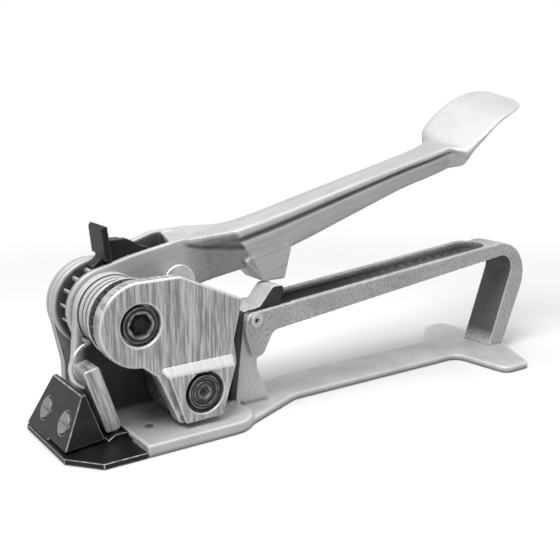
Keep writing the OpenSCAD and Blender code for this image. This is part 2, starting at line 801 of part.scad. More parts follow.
// Bush of the feed wheel
module feed_bush() color(bronze) difference() {
    rod(feed, 8, gear_y0, strap_half);
    rod(feed, 6 + run_gap, gear_y0 - 1, strap_half + 1);
}

// Ring of points round the lever at one station
half_ring = [[0.55, 0], [0.80, 0.05], [0.90, 0.30], [0.95, 0.60], [1, 0.68], [1, 0.75],
    [1, 0.81], [0.98, 0.90], [0.85, 0.975], [0.45, 1]];
function lever_ring(s) =
    let (side = [for (i = [0 : 9])
            let (side_x = half_ring[i].x)
            [side_x + 0.92 * (1 - side_x) * s[7] - (i == 4 || i == 5 ? 0.17 * s[5] : 0),
                half_ring[i].y]],
         whole = concat(side, [for (i = [9 : -1 : 0]) [-side[i].x, side[i].y]]))
    [for (q = whole)
        [s[0] + s[8] * (0.5 - q.y), s[1] + s[2] * q.x,
            shaft_z + s[4] + (s[3] - s[4]) * q.y + s[6] * q.x]];

// Lever: fork, neck, fluted arm and spoon end
module lever() color(steel) difference() {
    union() {
        // Fork cheeks; the near one has a smaller end and is lower at the neck
        for (c = [[near_y0, near_head_r, [14, 27], [46, 33]],
                  [far_y0, head_r, [14, 29.9], [35, 36.5]]])
            slab(c[0], c[0] + cheek_t) {
                translate(shaft)
                    circle(r = c[1]);
                polygon([
                    polar(shaft, c[1] - 0.6, 108), shaft + c[2], shaft + c[3],
                    shaft + [49, c[3].y + 0.4], shaft + [49, 3.5], polar(shaft, c[1] - 0.6, -52)]);
            }
        skin([for (s = stations) lever_ring(s)]);
        // Heel that comes down on the rest
        slab(arm_y - 11.5, arm_y + 9)
            polygon([[78, shaft_z + 19], [91, heel_z], [106, heel_z], [111, shaft_z + 24],
                [100, shaft_z + 30]]);
    }
    rod(shaft, sleeve_r + run_gap, near_y0 - 1, far_y1 + 1);
    rod(pawl_pin, pawl_pin_r, near_y0 - 1, far_y1 + 1);
    // Seat of the round cap
    rod(cap_at, cap_r + 0.4, near_y0 - 6, near_y0);
    rod(cap_at, 4, near_y0 - 1, near_y1);
}

// Pin of the driving pawl, riveted over at both ends
module drive_pawl_pin() color(steel)
    rod(pawl_pin, pawl_pin_r, near_y0, far_y1);

// Round cap on the fork
module spring_cap() color(ground) {
    rod(cap_at, 4, near_y0 - 1, near_y1);
    rod(cap_at, cap_r, near_y0 - 5.2, near_y0);
}

// Coil beside the driving pawl
pawl_coil = concat(
    [[pawl_pin.x - 8.8, hub_y1 + 1, pawl_pin.y + 5.2]],
    coil(pawl_pin, 5.2, hub_y1 + 1, pawl_y1 - 0.4, 2.25, 90),
    [[pawl_pin.x - 5.2, pawl_y1 - 0.4, pawl_pin.y - 6]]);
echo(pawl_gap = self_gap(pawl_coil, 0.9, 5));
module drive_pawl_spring() color(wire)
    wire_along(pawl_coil, 0.9, [0, 0, 1]);

// Driving pawl with its thumb tab
pawl_tip = polar(shaft, root_r + 0.6, drive_face - 0.6);
pawl_back = polar(shaft, ratchet_r + 1.8, drive_face - 0.6);
tab_foot = shaft_z + 28.5;
tab_low = shaft_z + 25.4;
hump_z = shaft_z + 36;
module drive_pawl() color(black) difference() {
    union() {
        rod(pawl_pin, 7, pawl_y0, hub_y1);
        slab(pawl_y0, hub_y1)
            polygon([[2, pawl_back.y + 1], [2.5, hump_z], [15, hump_z], [20.5, hump_z - 2.8],
                pawl_pin + [0.5, 6.9], pawl_pin + [-2, -6.5], [4, pawl_back.y - 2]]);
        slab(pawl_y0, pawl_y1)
            polygon([
                pawl_tip, pawl_back, [0.5, tab_foot - 1], [2.5, hump_z], [13, hump_z],
                pawl_pin + [-9.2, 5], pawl_pin + [-9, -3],
                polar(shaft, ratchet_r + 0.8, drive_face - pitch_deg + 1),
                polar(shaft, root_r + 2.3, drive_face - 10)]);
        // Thumb tab across the fork
        slab(near_y0 + 1.2, far_y1 - 1)
            polygon([[-0.2, tab_foot], [-1.6, shaft_z + tab_top - 2], [-0.4, shaft_z + tab_top],
                [2.4, shaft_z + tab_top - 1], [4.2, tab_foot]]);
        // Its foot, which comes down between the cheeks and over the near one
        slab(near_y0 + 1.2, pawl_y1)
            polygon([[0.1, tab_low], [-0.2, tab_foot], [4.2, tab_foot], [4.6, tab_low]]);
    }
    rod(pawl_pin, pawl_pin_r + run_gap, pawl_y0 - 1, pawl_y1 + 1);
}

// Holding pawl, drawn resting just clear of the teeth
hold_tip = polar(shaft, root_r + 2.2, hold_face - 2);
hold_back = polar(shaft, ratchet_r + 3.5, hold_face - 2);
module hold_pawl() color(black)
    translate([hold_pin.x, 0, hold_pin.y])
        rotate([0, hold_rest, 0])
            translate([-hold_pin.x, 0, -hold_pin.y])
                difference() {
                    union() {
                        rod(hold_pin, 6.5, pawl_y0, hub_y1);
                        slab(pawl_y0, hub_y1)
                            polygon([hold_pin + [-6, 2], hold_pin + [6.4, 1],
                                hold_back + [3, -6], hold_tip + [1, -8]]);
                        slab(pawl_y0, pawl_y1)
                            polygon([hold_tip, hold_tip + [1, -8.5], hold_back + [3, -7], hold_back]);
                    }
                    rod(hold_pin, hold_pin_r + run_gap, pawl_y0 - 1, pawl_y1 + 1);
                }

// Gripper bar with a toothed toe
module gripper() color(ground) difference() {
    slab(bar_y0, bar_y1)
        polygon(outline([
            [-26.2, 42, 1], [-17.5, 44, 1], [-7, 11, 2], [-7.2, toe_z, 3], [-15, toe_z, 0.4]]));
    rod(gripper_pin_at, grip_pin_r, bar_y0 + 3, bar_y1 + 1);
}

base_casting();
nose_plate();
nose_rivets();
gripper_block();
block_screws();
gripper_anvil();
feed_anvil();
far_plate();
far_plate_screws();
d_handle();
d_handle_pin();
foot_screws();
lever_shaft();
pivot_screw();
sleeve_bush();
gripper_pin();
gripper_spring();
hold_pawl_pin();
hold_pawl_spring();
rocker();
rocker_bush();
feed_shaft();
feed_shaft_washer();
thrust_washer();
idler_pin();
rocker_spring();
drive_sleeve();
drive_keys();
ratchet_wheel();
drive_gear();
gear_side_discs();
idler_gear();
feed_wheel();
feed_gear();
feed_bush();
lever();
drive_pawl_pin();
spring_cap();
drive_pawl_spring();
drive_pawl();
hold_pawl();
gripper();
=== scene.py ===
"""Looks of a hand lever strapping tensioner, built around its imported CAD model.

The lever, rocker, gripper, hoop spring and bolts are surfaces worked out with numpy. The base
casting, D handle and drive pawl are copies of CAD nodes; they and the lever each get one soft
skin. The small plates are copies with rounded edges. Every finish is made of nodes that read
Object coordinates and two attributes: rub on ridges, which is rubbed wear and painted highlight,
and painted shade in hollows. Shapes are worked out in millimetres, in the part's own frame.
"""

import json
import math
from typing import NamedTuple

import bmesh
import bpy
import numpy as np
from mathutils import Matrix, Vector
from mathutils.geometry import tessellate_polygon


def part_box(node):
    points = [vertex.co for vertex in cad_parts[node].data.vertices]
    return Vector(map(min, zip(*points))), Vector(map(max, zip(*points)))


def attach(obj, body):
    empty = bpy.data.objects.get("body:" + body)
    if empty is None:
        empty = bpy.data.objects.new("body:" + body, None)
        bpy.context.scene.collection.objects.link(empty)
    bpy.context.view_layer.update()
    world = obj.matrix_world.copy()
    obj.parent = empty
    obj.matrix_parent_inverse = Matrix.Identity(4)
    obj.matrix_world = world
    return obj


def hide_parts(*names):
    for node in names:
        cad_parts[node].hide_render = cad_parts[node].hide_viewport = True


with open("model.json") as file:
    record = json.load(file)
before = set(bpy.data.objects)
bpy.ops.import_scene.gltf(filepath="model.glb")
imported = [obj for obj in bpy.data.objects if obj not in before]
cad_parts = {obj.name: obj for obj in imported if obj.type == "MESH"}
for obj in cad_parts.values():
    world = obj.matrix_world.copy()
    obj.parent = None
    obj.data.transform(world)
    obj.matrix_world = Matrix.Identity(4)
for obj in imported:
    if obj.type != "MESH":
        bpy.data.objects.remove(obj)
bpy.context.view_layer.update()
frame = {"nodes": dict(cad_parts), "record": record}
MM = 0.001
SCENE = bpy.context.scene

# Axes across the tool: x and z
SHAFT = np.array([0.0, 66.0])
FEED = np.array([33.5, 24.9])
IDLER = np.array([25.863, 50.797])
PAWL_PIN = np.array([24.0, 90.0])
HOOP = np.array([-19.4, 43.0])
HANDLE_PIN = np.mean(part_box("d_handle_pin"), axis=0)[[0, 2]] / MM

# Places along Y, from the open near side to the far side
BOSS_Y = -27.6
ROCKER_Y = (-23.6, -14.6)
LEG_Y = (6.9, 10.9)
NEAR_CHEEK_Y = (17.8, 22.4)
FAR_CHEEK_Y = (32.4, 37.0)
GRIPPER_Y = (-9.0, 7.0)
HEEL_Y = (2.5, 23.0)
FORK_MIDDLE_Y = 27.4
WALL_FACE_Y = (9.5, 11.3)
HUB_RINGS_Y = (0.8, 5.6, 10.6)

# The fork's two cheeks: radius of the rounded end, then the corner in the top edge, above the
# shaft, and the rise of that edge to its left and right
NEAR_END, FAR_END = 22.6, 25.0
CORNER_X = 14
NEAR_CORNER, FAR_CORNER = 27, 29.9
NEAR_RISES, FAR_RISE = (0.29, 0.1875), 0.313

# Groove along the handle's top: x and z of a point on its rails and on its floor, and their rise
RAIL_AT, RAIL_RISE = (70, 57.6), 0.0898
FLOOR_AT, FLOOR_RISE = (100, 55), 0.084
GROOVE_MIDDLE_Y = 3

# Inner face of the handle's post: x and z of its foot and top
POST_FOOT = (270.5, 4)
POST_TOP = (294, 69.5)

# Slope of the lever's arm, in degrees, and where the arm turns into the spoon
ARM_SLOPE = 14.0
SPOON_X = (236, 244)


class Field:
    """A number that varies over a surface. Arithmetic on it adds Math nodes."""

    def __init__(self, nodes, socket):
        self.nodes = nodes
        self.socket = socket

    def _math(self, operation, first, second):
        return self.nodes.add("Math", {"operation": operation}, {0: first, 1: second})

    def __add__(self, other):
        return self._math("ADD", self, other)

    __radd__ = __add__

    def __sub__(self, other):
        return self._math("SUBTRACT", self, other)

    def __rsub__(self, other):
        return self._math("SUBTRACT", other, self)

    def __mul__(self, other):
        return self._math("MULTIPLY", self, other)

    __rmul__ = __mul__

    def over(self, low, high):
        """0 below low, 1 above high and a smooth step between them."""
        return self.nodes.add(
            "MapRange", {"interpolation_type": "SMOOTHSTEP"},
            {"Value": self, "From Min": low, "From Max": high})

    def between(self, rise, fall):
        """1 between two smooth steps, the first up and the second down, and 0 outside them."""
        return self.over(*rise) * (1 - self.over(*fall))


class Nodes:
    """A node tree, which grows by one method."""

    def __init__(self, tree):
        self.tree = tree

    def add(self, kind, settings=None, inputs=None, out=0):
        """Adds one node: its settings first, then the values or links of its sockets."""
        node = self.tree.nodes.new("ShaderNode" + kind)
        for name, value in (settings or {}).items():
            setattr(node, name, value)
        for name, value in (inputs or {}).items():
            self.put(node.inputs[name], value)
        return Field(self, node.outputs[out])

    def put(self, socket, value):
        """Links a field to a socket, or sets the socket to a plain value."""
        if isinstance(value, Field):
            self.tree.links.new(value.socket, socket)
        elif socket.type == "RGBA":
            socket.default_value = (*value, 1)
        else:
            socket.default_value = value

    def seen(self):
        """1 to the camera, mirrors and glass, and 0 to diffuse light."""
        rays = ("Is Camera Ray", "Is Glossy Ray", "Is Transmission Ray")
        return sum(self.add("LightPath", out=ray) for ray in rays).over(0, 1)


class Finish(Nodes):
    """A material under construction: its Principled shader and the nodes that feed it."""

    def __init__(self, name, **sockets):
        self.material = bpy.data.materials.new(name)
        self.material.use_nodes = True
        super().__init__(self.material.node_tree)
        self.shader = self.tree.nodes["Principled BSDF"]
        self.place = self.add("TexCoord", out="Object")
        for socket, value in sockets.items():
            self.feed(socket.replace("_", " ").title().replace("Ior", "IOR"), value)

    def feed(self, socket, value):
        """Puts a field or a plain value into one of the shader's sockets."""
        self.put(self.shader.inputs[socket], value)

    def noise(self, size_mm, detail=2.0, rough=0.5, stretch=(1, 1, 1), tilt=0.0):
        """Noise with grains size_mm across, drawn out along axes that tilt degrees about Y."""
        at = self.add(
            "Mapping", {"vector_type": "TEXTURE"},
            {"Vector": self.place, "Rotation": (0, math.radians(-tilt), 0), "Scale": stretch})
        return self.add(
            "TexNoise", None,
            {"Vector": at, "Scale": 1 / (size_mm * MM), "Detail": detail, "Roughness": rough})

    def mix(self, share, first, second):
        """A colour between first and second."""
        return self.add(
            "Mix", {"data_type": "RGBA"}, {"Factor": share, 6: first, 7: second}, out=2)

    def bump(self, height, depth_mm):
        """Raises the surface by a height from 0 to 1, which is depth_mm deep."""
        self.feed("Normal", self.add("Bump", None, {"Height": height, "Distance": depth_mm * MM}))

    def mark(self, name):
        """One of the piece's own attributes."""
        return self.add("Attribute", {"attribute_name": name}, out="Fac")

    def axis(self, name):
        """The place along X, Y or Z, in millimetres."""
        return self.add("SeparateXYZ", None, {0: self.place}, out=name) * (1 / MM)

    def reach(self, centre):
        """The distance from a line along Y through centre, in millimetres."""
        flat = self.add("VectorMath", {"operation": "MULTIPLY"}, {0: self.place, 1: (1, 0, 1)})
        away = self.add("VectorMath", {"operation": "DISTANCE"},
                        {0: flat, 1: (centre[0] * MM, 0, centre[1] * MM)}, out="Value")
        return away * (1 / MM)

    def worn_and_shaded(self, body, bright, dark, rub=0.6, painted_shade=0.6):
        """The body colour with its ridges lighter, as rubbed wear and painted highlight, and its
        hollows darkened as painted shade.
        """
        body = self.mix(self.mark("painted_shade") * painted_shade, body, dark)
        return self.mix(self.mark("rub") * rub, body, bright)


def grey(value, warm=0.0):
    """A near neutral tone; warm tips it from blue to yellow."""
    return (value * (1 + warm), value, value * (1 - warm))


def frame_shade(f):
    """Painted shade on the frame: on its wall behind the gripper, on its lug beside the rocker as
    far as a slanting line, on the near face of the lever rest, in rings round its hub, and a little
    along its foot."""
    x, y, z = f.axis("X"), f.axis("Y"), f.axis("Z")
    slant = x - z * 0.117
    behind = y.over(*WALL_FACE_Y)
    wall = x.over(-23, -16) * behind * z.between((4, 12), (50, 66))
    lug = (1 - slant.over(62.8, 63.8)) * x.over(56, 58) * z.over(6.6, 9) * (1 - behind)
    rest = x.over(66, 70) * z.over(57, 59) * (1 - y.over(-8.5, -8.0))
    foot = 1 - z.over(0.4, 2.6)
    hub = f.reach(SHAFT).between((17, 18), (20.0, 20.3))
    inner, outer = 0.5, 0.8
    rings = sum(y.between((at - outer, at - inner), (at + inner, at + outer)) for at in HUB_RINGS_Y)
    return wall + lug + rest + foot * 0.6 + hub * rings * 0.95


def cast_finish(name, tone, speckle=0.12, grain_mm=0.9, depth_mm=0.10, rough=0.5, shade_mask=None):
    """Satin cast steel: cloudy tone, sand grain with dark speckles, ridges lighter as rubbed wear
    and painted highlight, hollows darkened as painted shade.
    """
    f = Finish(name, metallic=0.3, specular_ior_level=0.25)
    cloud = f.noise(24, 3, 0.6)
    grain = f.noise(grain_mm, 3, 0.62)
    pits = f.noise(grain_mm, 2, 0.5, stretch=(1, 1, 2.2)).over(0.50, 0.64)
    body = f.mix(cloud.over(0.3, 0.7), grey(tone * 0.88, 0.012), grey(tone * 1.08))
    body = f.mix(pits * speckle, body, grey(tone * 0.35))
    body = f.worn_and_shaded(body, grey(tone * 1.45), grey(tone * 0.06), painted_shade=0.95)
    if shade_mask:
        # Painted shade from the mask, darkening the frame where shade falls.
        body = f.mix(shade_mask(f) * (0.88 + 0.2 * cloud), body, grey(tone * 0.05))
    f.feed("Base Color", body)
    f.feed("Roughness", rough + (grain - 0.5) * 0.22 + (cloud - 0.5) * 0.12)
    f.bump(grain - pits * 0.8, depth_mm)
    return f.material


def forged_finish(name, tone):
    """Forged and polished steel: fine lines along the arm of the lever, and across its spoon."""
    f = Finish(name, metallic=0.4)
    cloud = f.noise(30, 3, 0.55)
    spoon = f.axis("X").over(*SPOON_X)
    along = f.noise(0.8, 2, 0.55, stretch=(45, 1, 1), tilt=ARM_SLOPE)
    across = f.noise(0.8, 2, 0.5, stretch=(1, 40, 1)) * 0.3 + 0.35
    lines = along + (across - along) * spoon
    bands = f.noise(2.4, 1, 0.5, stretch=(60, 1, 1), tilt=ARM_SLOPE) * (1 - spoon)
    body = f.mix(cloud.over(0.3, 0.7), grey(tone * 0.93, 0.008), grey(tone * 1.06))
    marks = lines.over(0.42, 0.75) * 0.5 + bands.over(0.5, 0.75) * 0.3
    body = f.mix(marks, body, grey(tone * 0.6))
    f.feed("Base Color", f.worn_and_shaded(body, grey(tone * 1.35), grey(tone * 0.12), 0.6, 0.95))
    f.feed("Roughness", 0.50 + (lines - 0.5) * 0.25 + (cloud - 0.5) * 0.14)
    f.bump(lines, 0.04)
    return f.material


def ground_finish(name, tone, stretch, tilt=0.0):
    """Ground steel: streaks of the wheel along one axis, over a faint cloud."""
    f = Finish(name, metallic=0.45)
    streak = f.noise(0.9, 3, 0.65, stretch=stretch, tilt=tilt)
    broad = f.noise(2.8, 2, 0.5, stretch=stretch, tilt=tilt)
    cloud = f.noise(24, 2)
    shade = (streak - 0.5) * 1.9 + (broad - 0.5) * 1.4 + 0.5
    body = f.mix(shade.over(0.1, 0.9), grey(tone * 0.42), grey(tone * 1.12))
    f.feed("Base Color", f.worn_and_shaded(body, grey(min(tone * 1.5, 0.9)), grey(tone * 0.3), 0.75))
    f.feed("Roughness", 0.38 + (streak - 0.5) * 0.35 + (cloud - 0.5) * 0.1)
    f.bump(streak + broad * 0.5, 0.03)
    return f.material


def oxide_finish(name, tone, rough, worn):
    """Black oxide on steel: blue black, slightly cloudy, lighter on its edges, partly rubbed to
    bare metal and partly painted highlight.
    """
    f = Finish(name, metallic=0.25, specular_ior_level=0.25)
    cloud = f.noise(14, 3, 0.6)
    grain = f.noise(0.5, 2, 0.6)
    # Edges lighter: rubbed bare metal and painted highlight.
    rub = f.mark("rub") * (0.35 + 0.65 * f.noise(3.0, 3, 0.6).over(0.35, 0.65))
    body = f.mix(cloud.over(0.3, 0.7), grey(tone, -0.05), grey(tone * 2.2, -0.03))
    f.feed("Base Color", f.mix(rub, body, grey(worn)))
    f.feed("Roughness", rough + (cloud - 0.5) * 0.2 + (grain - 0.5) * 0.16)
    f.bump(grain, 0.02)
    return f.material


def turned_finish(name, tone, rough=0.32, metallic=0.7, shaded_core=None):
    """Turned or drawn steel: fine grain and a light oil film. The last argument gives the middle of
    a wheel or pin, and the radii between which it goes from painted shade, near black, to bare
    steel."""
    f = Finish(name, metallic=metallic)
    film = f.noise(6, 3, 0.6)
    grain = f.noise(0.35, 2, 0.6)
    body = f.mix(film.over(0.25, 0.75), grey(tone * 0.78, 0.01), grey(tone * 1.08))
    if shaded_core:
        centre, *radii = shaded_core
        # Painted shade in the tooth gaps or bore, near black inside the first radius.
        body = f.mix(f.reach(centre).over(*radii), grey(tone * 0.05), body)
    f.feed("Base Color", f.worn_and_shaded(body, grey(min(tone * 1.5, 0.9)), grey(tone * 0.3)))
    f.feed("Roughness", rough + (film - 0.5) * 0.2 + (grain - 0.5) * 0.12)
    f.bump(grain, 0.012)
    return f.material


def bronze_finish(name):
    """Bearing bronze with dull brown patches."""
    f = Finish(name, metallic=0.95)
    patch = f.noise(3, 3, 0.6)
    f.feed("Base Color", f.mix(patch.over(0.3, 0.7), (0.42, 0.26, 0.10), (0.66, 0.46, 0.22)))
    f.feed("Roughness", 0.32 + (patch - 0.5) * 0.2)
    return f.material


FINISHES = {
    "cast": cast_finish("satin_cast_steel", tone=0.52),
    # The frame carries a mask of painted shade.
    "frame": cast_finish("satin_cast_frame", tone=0.63, shade_mask=frame_shade),
    "grained": cast_finish(
        "grained_cast_steel", tone=0.55, speckle=0.55, grain_mm=0.85, depth_mm=0.22, rough=0.55),
    "forged": forged_finish("satin_forged_steel", tone=0.50),
    "ground": ground_finish("ground_steel", tone=0.54, stretch=(1, 8, 16)),
    "bar": ground_finish("ground_bar_steel", tone=0.56, stretch=(1, 8, 14), tilt=17),
    "oxide": oxide_finish("black_oxide", tone=0.011, rough=0.42, worn=0.50),
    "bolt": oxide_finish("black_oxide_bolt", tone=0.010, rough=0.34, worn=0.42),
    "tab": oxide_finish("black_oxide_tab", tone=0.008, rough=0.45, worn=0.12),
    "turned": turned_finish("turned_steel", tone=0.60),
    # Ratchet, pin and drive gear: painted shade in their middles.
    "ratchet": turned_finish(
        "cut_ratchet_steel", tone=0.62, rough=0.4, metallic=0.4, shaded_core=(SHAFT, 20.0, 21.2)),
    "pin": turned_finish(
        "hollow_pin_steel", tone=0.60, rough=0.36, metallic=0.5, shaded_core=(HANDLE_PIN, 1.3, 2.3)),
    "screw": turned_finish("blackened_screw_steel", tone=0.26, rough=0.36, metallic=0.6),
    "gear": turned_finish("cut_gear_steel", tone=0.36, rough=0.36),
    "drive_gear": turned_finish(
        "cut_drive_gear_steel", tone=0.50, rough=0.36, metallic=0.5, shaded_core=(SHAFT, 20.6, 22.6)),
    "hard": turned_finish("hardened_steel", tone=0.24, rough=0.4),
    "wire": turned_finish("spring_wire", tone=0.62, rough=0.26),
    "bronze": bronze_finish("bearing_bronze"),
}


class Shell(NamedTuple):
    """Points in millimetres, faces as lists of point numbers, and the rub at each point: rubbed
    wear and painted highlight.
    """
    points: np.ndarray
    faces: list
    rub: np.ndarray


def joined(*shells):
    """Several shells as one, with their point numbers moved up in turn."""
    start = np.cumsum([0] + [len(shell.points) for shell in shells])
    faces = [[p + first for p in face]
             for shell, first in zip(shells, start.tolist()) for face in shell.faces]
    return Shell(np.concatenate([shell.points for shell in shells]), faces,
                 np.concatenate([shell.rub for shell in shells]))


def unit(vectors):
    """Each vector divided by its length."""
    return vectors / np.linalg.norm(vectors, axis=1, keepdims=True)


def ramp(values, start, end):
    """0 at start and 1 at end, straight between them and level outside. end may be the lower."""
    return np.clip((values - start) / (end - start), 0, 1)


def skirt(rows, columns, start=0):
    """Quads between rows of points whose columns close on themselves, and the point numbers."""
    index = start + np.arange(rows * columns).reshape(rows, columns)
    ahead = np.roll(index, -1, 1)
    return np.stack([index[:-1], index[1:], ahead[1:], ahead[:-1]], -1).reshape(-1, 4), index


def tube(rings, rub=0.0):
    """A shell through rings of points, with one flat face at either end."""
    quads, index = skirt(*rings.shape[:2])
    ends = [index[0].tolist(), index[-1][::-1].tolist()]
    rubs = np.broadcast_to(rub, index.shape).ravel()
    return Shell(rings.reshape(-1, 3), quads.tolist() + ends, rubs)


def arc(centre, radius, start, end, count):
    """Points on a circle in x and z between two angles in degrees."""
    turn = np.radians(np.linspace(start, end, count))
    return np.asarray(centre) + radius * np.stack([np.cos(turn), np.sin(turn)], -1)


def hole(centre, radius, count=64):
    """A circle that runs clockwise, so that the metal is on its left."""
    return arc(centre, radius, 360, 0, count + 1)[:-1]


def fillets(corners, count=7):
    """An outline whose corners are arcs. Each row is x, z and radius, and radius 0 keeps a sharp
    corner. The arc's points are a spherical blend between the radii that end on the two sides."""
    rows = np.asarray(corners, float)
    at, radius = rows[:, :2], rows[:, 2:]
    before = unit(np.roll(at, 1, 0) - at)
    after = unit(np.roll(at, -1, 0) - at)
    half = np.arccos(np.clip((before * after).sum(1, keepdims=True), -1, 1)) / 2
    centre = at + unit(before + after) * radius / np.sin(half)
    first = (at + before * radius / np.tan(half) - centre)[:, None]
    last = (at + after * radius / np.tan(half) - centre)[:, None]
    sweep = (np.pi - 2 * half)[:, None]
    share = np.linspace(0, 1, count)[None, :, None]
    blend = np.sin((1 - share) * sweep) * first + np.sin(share * sweep) * last
    points = (centre[:, None] + blend / np.sin(sweep)).reshape(-1, 2)
    return points[np.linalg.norm(np.roll(points, -1, 0) - points, axis=1) > 1e-4]


def inset(outline, depth):
    """The outline moved to its left by each depth, its points sliding along mitres."""
    ahead = unit(np.roll(outline, -1, 0) - outline)
    left = np.stack([-ahead[:, 1], ahead[:, 0]], -1)
    other = np.roll(left, 1, 0)
    mitre = (left + other) / (1 + (left * other).sum(1, keepdims=True))
    return outline + depth[:, None, None] * mitre


def filled(rings):
    """Triangles that fill the first ring outside the others, all turning the same way."""
    flat = np.concatenate(rings)
    triangles = np.array(tessellate_polygon(
        [np.pad(ring, ((0, 0), (0, 1))).tolist() for ring in rings]))
    one, two, three = (flat[triangles[:, i]] for i in range(3))
    turn = np.cross(two - one, three - one)
    triangles[turn < 0] = triangles[turn < 0][:, ::-1]
    return triangles


def plate(outline, y0, y1, ease, holes=(), back=None):
    """A plate across Y. Each edge is a grid: points round the outline, and rows that inset it
    along a quarter circle towards either face. back is the outline at y1 where it differs."""
    turn = np.linspace(0, np.pi / 2, 6)
    depth = np.concatenate([ease * (1 - np.sin(turn)), ease * (1 - np.sin(turn[::-1]))])
    drop = ease * (1 - np.cos(turn))
    y = np.concatenate([y0 + drop, y1 - drop[::-1]])
    rub = np.concatenate([np.sin(2 * turn), np.sin(2 * turn[::-1])])
    points, faces, rubs, rims, numbers = [], [], [], [], []
    start = 0
    for edge in (outline, *holes):
        rows = inset(edge, depth)
        if back is not None and edge is outline:
            share = ((y - y0) / (y1 - y0))[:, None, None]
            rows = rows * (1 - share) + inset(back, depth) * share
        quads, index = skirt(*rows.shape[:2], start)
        height = np.broadcast_to(y[:, None], rows.shape[:2])
        points.append(np.stack([rows[..., 0], height, rows[..., 1]], -1).reshape(-1, 3))
        rubs.append(np.repeat(rub, len(edge)))
        faces += quads.tolist()
        rims.append(rows)
        numbers.append(index)
        start += index.size
    for face, order in ((0, 1), (-1, -1)):
        triangles = filled([rows[face] for rows in rims])[:, ::order]
        faces += np.concatenate([index[face] for index in numbers])[triangles].tolist()
    return Shell(np.concatenate(points), faces, np.concatenate(rubs))


def turned(profile, centre, sides=96):
    """A piece turned about a line along Y. Rows are radius, y, how hexagonal the ring is, and
    rub, which is rubbed wear and painted highlight. A hexagonal ring's radius follows the straight
    sides between its six corners."""
    radius, y, hexagonal, rub = np.asarray(profile, float).T[:, :, None]
    turn = np.linspace(0, 2 * np.pi, sides, endpoint=False)
    sixth = np.pi / 3
    side = np.cos(sixth / 2) / np.cos(turn % sixth - sixth / 2)
    ring = radius * (1 - hexagonal + hexagonal * side)
    points = np.stack([
        centre[0] + ring * np.cos(turn), np.broadcast_to(y, ring.shape),
        centre[1] + ring * np.sin(turn)], -1)
    return tube(points, rub)


def cubic(stations, count):
    """Smooth values between station rows: a cubic through every column against the first. A row's
    slope is the weighted harmonic mean of the slopes beside it, or 0 at a turn, so that the cubic
    never overshoots."""
    rows = np.asarray(stations, float)
    x = rows[:, 0]
    step = np.diff(x)[:, None]
    rise = np.diff(rows, axis=0) / step
    before, after = rise[:-1], rise[1:]
    one, two = 2 * step[1:] + step[:-1], step[1:] + 2 * step[:-1]
    climbs = before * after > 0
    slope = np.zeros_like(rows)
    slope[[0, -1]] = rise[[0, -1]]
    slope[1:-1][climbs] = ((one + two) / (
        one / np.where(climbs, before, 1) + two / np.where(climbs, after, 1)))[climbs]
    at = np.linspace(x[0], x[-1], count)
    k = np.clip(np.searchsorted(x, at) - 1, 0, len(x) - 2)
    span = (x[k + 1] - x[k])[:, None]
    t = (at[:, None] - x[k][:, None]) / span
    return ((2 * t**3 - 3 * t**2 + 1) * rows[k] + (t**3 - 2 * t**2 + t) * span * slope[k]
            + (3 * t**2 - 2 * t**3) * rows[k + 1] + (t**3 - t**2) * span * slope[k + 1])


def wire(path, radius, sides=16):
    """A round wire: a circle carried along a path, square to it, with eased ends."""
    never_along = (0.31, 0.83, 0.46)
    tangent = unit(np.gradient(path, axis=0))
    side = unit(np.cross(tangent, never_along))
    other = np.cross(tangent, side)
    turn = np.linspace(0, 2 * np.pi, sides, endpoint=False)[None, :, None]
    size = np.full(len(path), radius)
    size[[0, -1]] *= 0.5
    size[[1, -2]] *= 0.88
    rings = path[:, None] + size[:, None, None] * (
        np.cos(turn) * side[:, None] - np.sin(turn) * other[:, None])
    return tube(rings)


def body_of(node):
    """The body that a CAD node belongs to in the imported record."""
    return next(body for body, members in frame["record"]["behaviour"]["bodies"].items()
                if node in members)


def to_object(name, data):
    """A new object in the scene, for a mesh, a lamp or a camera."""
    thing = bpy.data.objects.new(name, data)
    SCENE.collection.objects.link(thing)
    return thing


def dress(mesh, finish):
    """Gives a mesh one finish."""
    mesh.materials.clear()
    mesh.materials.append(FINISHES[finish])


def settle(piece, node, finish):
    """Gives a new piece its finish and its body, and hides the node it stands for."""
    mesh = piece.data
    dress(mesh, finish)
    mesh.polygons.foreach_set("use_smooth", np.ones(len(mesh.polygons), bool))
    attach(piece, body_of(node))
    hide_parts(node)
    return piece


def flat_faced(piece):
    """Keeps flat faces flat where smooth shading meets rounded edges."""
    piece.modifiers.new("shading", "WEIGHTED_NORMAL").weight = 60
    return piece


def mark_points(mesh, name, values):
    """Keeps one value for each point as an attribute."""
    mesh.attributes.new(name, "FLOAT", "POINT").data.foreach_set(
        "value", np.ascontiguousarray(values, np.float32))


def all_of(items, name, kind, width=1):
    """One property of every item, as an array with width values in a row."""
    values = np.empty(width * len(items), kind)
    items.foreach_get(name, values)
    return values.reshape(-1, width) if width > 1 else values


def shell_mesh(name, shell):
    """A mesh in metres from a shell in millimetres."""
    mesh = bpy.data.meshes.new(name)
    mesh.from_pydata((shell.points * MM).tolist(), [], shell.faces)
    mark_points(mesh, "rub", shell.rub)
    return mesh


def made(name, node, finish, shell):
    """A piece from a shell, in place of a CAD node."""
    return flat_faced(settle(to_object(name, shell_mesh(name, shell)), node, finish))


def merged(node, flat_deg=0.5):
    """A copy of a CAD node's mesh with its doubles merged and its flat faces joined."""
    mesh = frame["nodes"][node].data.copy()
    bm = bmesh.new()
    bm.from_mesh(mesh)
    bmesh.ops.remove_doubles(bm, verts=bm.verts, dist=2e-6)
    bmesh.ops.dissolve_limit(
        bm, angle_limit=math.radians(flat_deg), use_dissolve_boundaries=False,
        verts=bm.verts, edges=bm.edges, delimit=set())
    bm.to_mesh(mesh)
    bm.free()
    return mesh


